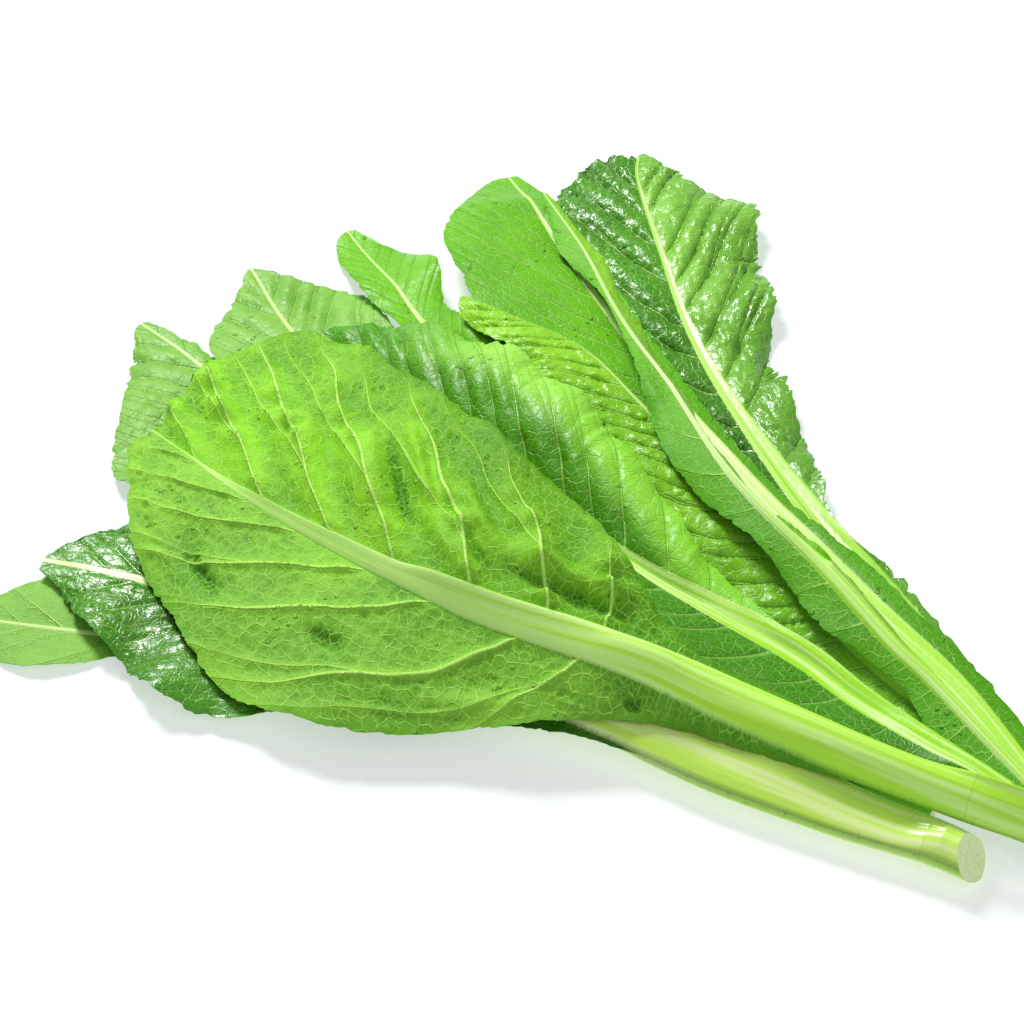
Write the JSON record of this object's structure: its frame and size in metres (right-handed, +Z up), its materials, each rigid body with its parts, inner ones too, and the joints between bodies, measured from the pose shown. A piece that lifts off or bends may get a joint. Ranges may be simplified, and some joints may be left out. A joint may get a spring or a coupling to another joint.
{
  "type": "mustard greens",
  "caption": "Bunch of loose mustard greens lying flat: long stalked leaves with broad waved blades, fanned out from two cut stems.",
  "frame": {"origin": "centre of the bounding box in plan, at the height of the surface that the bunch lies on", "axes": "+X to the right in the picture, along the longer side of the bunch, towards the cut stems; +Y away from the viewer; +Z up"},
  "size_m": [0.3616, 0.3484, 0.0425],
  "materials": {
    "leaf_far_left": "pale green underside of a leaf, dull, with raised veins",
    "leaf_back": "dark green upper side of a leaf, glossy and puckered, with pale veins",
    "leaf_low": "dark green upper side of a leaf, glossy and puckered, with pale veins",
    "stem_low": "pale green fleshy stem, smooth, with a pale cut face",
    "leaf_upper_left": "light green leaf with pale veins",
    "leaf_behind": "light green leaf with pale veins",
    "leaf_broad": "bright green leaf, smooth, with fine pale veins",
    "leaf_small": "bright green leaf, smooth, with fine pale veins",
    "leaf_wrinkled": "bright green leaf, puckered between pale veins",
    "leaf_folded": "bright green leaf folded along a pale rib",
    "leaf_rolled": "bright green leaf rolled up along one margin",
    "leaf_front": "green underside of a leaf, satin, with pale raised veins and stalk",
    "stem_front": "pale green fleshy stem, smooth and lightly ridged"
  },
  "bodies": {
    "root": {"leaf_far_left": "leaf_far_left", "leaf_back": "leaf_back", "leaf_low": "leaf_low", "stem_low": "stem_low", "leaf_upper_left": "leaf_upper_left", "leaf_behind": "leaf_behind", "leaf_broad": "leaf_broad", "leaf_small": "leaf_small", "leaf_wrinkled": "leaf_wrinkled", "leaf_folded": "leaf_folded", "leaf_rolled": "leaf_rolled", "leaf_front": "leaf_front", "stem_front": "stem_front"}
  },
  "joints": []
}
